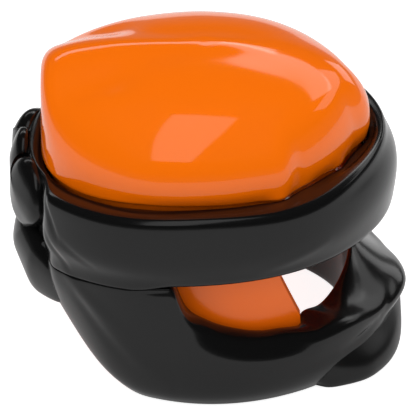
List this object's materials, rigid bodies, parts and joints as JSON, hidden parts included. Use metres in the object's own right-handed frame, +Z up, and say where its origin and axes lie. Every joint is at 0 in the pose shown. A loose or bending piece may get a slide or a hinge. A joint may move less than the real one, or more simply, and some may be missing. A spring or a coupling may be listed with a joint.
{
  "type": "basket muzzle",
  "caption": "Hood-shaped moulded muzzle: an orange inner cup and lift-off crown held in black wraps, with a front face slot, a neck opening and a moulded knot at the back.",
  "frame": {"origin": "centre of the footprint, on the surface the muzzle stands on", "axes": "+Z up, -Y to the face slot, +Y to the knot at the back"},
  "size_m": [0.1244, 0.1259, 0.1],
  "materials": {
    "crown_orange": "gloss orange",
    "cup_orange": "satin orange",
    "brow_black": "gloss black",
    "jaw_black": "gloss black",
    "knot_black": "gloss black",
    "peg_black": "matt black"
  },
  "bodies": {
    "muzzle": {"inner_cup": "cup_orange", "brow_wrap": "brow_black", "jaw_wrap": "jaw_black", "chin_wrap": "jaw_black", "knot_core": "knot_black", "knot_loop_right": "knot_black", "knot_loop_left": "knot_black", "knot_tail_right": "knot_black", "knot_tail_left": "knot_black", "brow_pegs": "peg_black", "jaw_pegs": "peg_black", "knot_pins": "peg_black"},
    "crown": {"crown_shell": "crown_orange"}
  },
  "joints": [
    {"name": "crown_lift", "type": "slide", "parent": "muzzle", "child": "crown", "axis": [0, 0, 1], "range_m": [0, 0.045]}
  ]
}
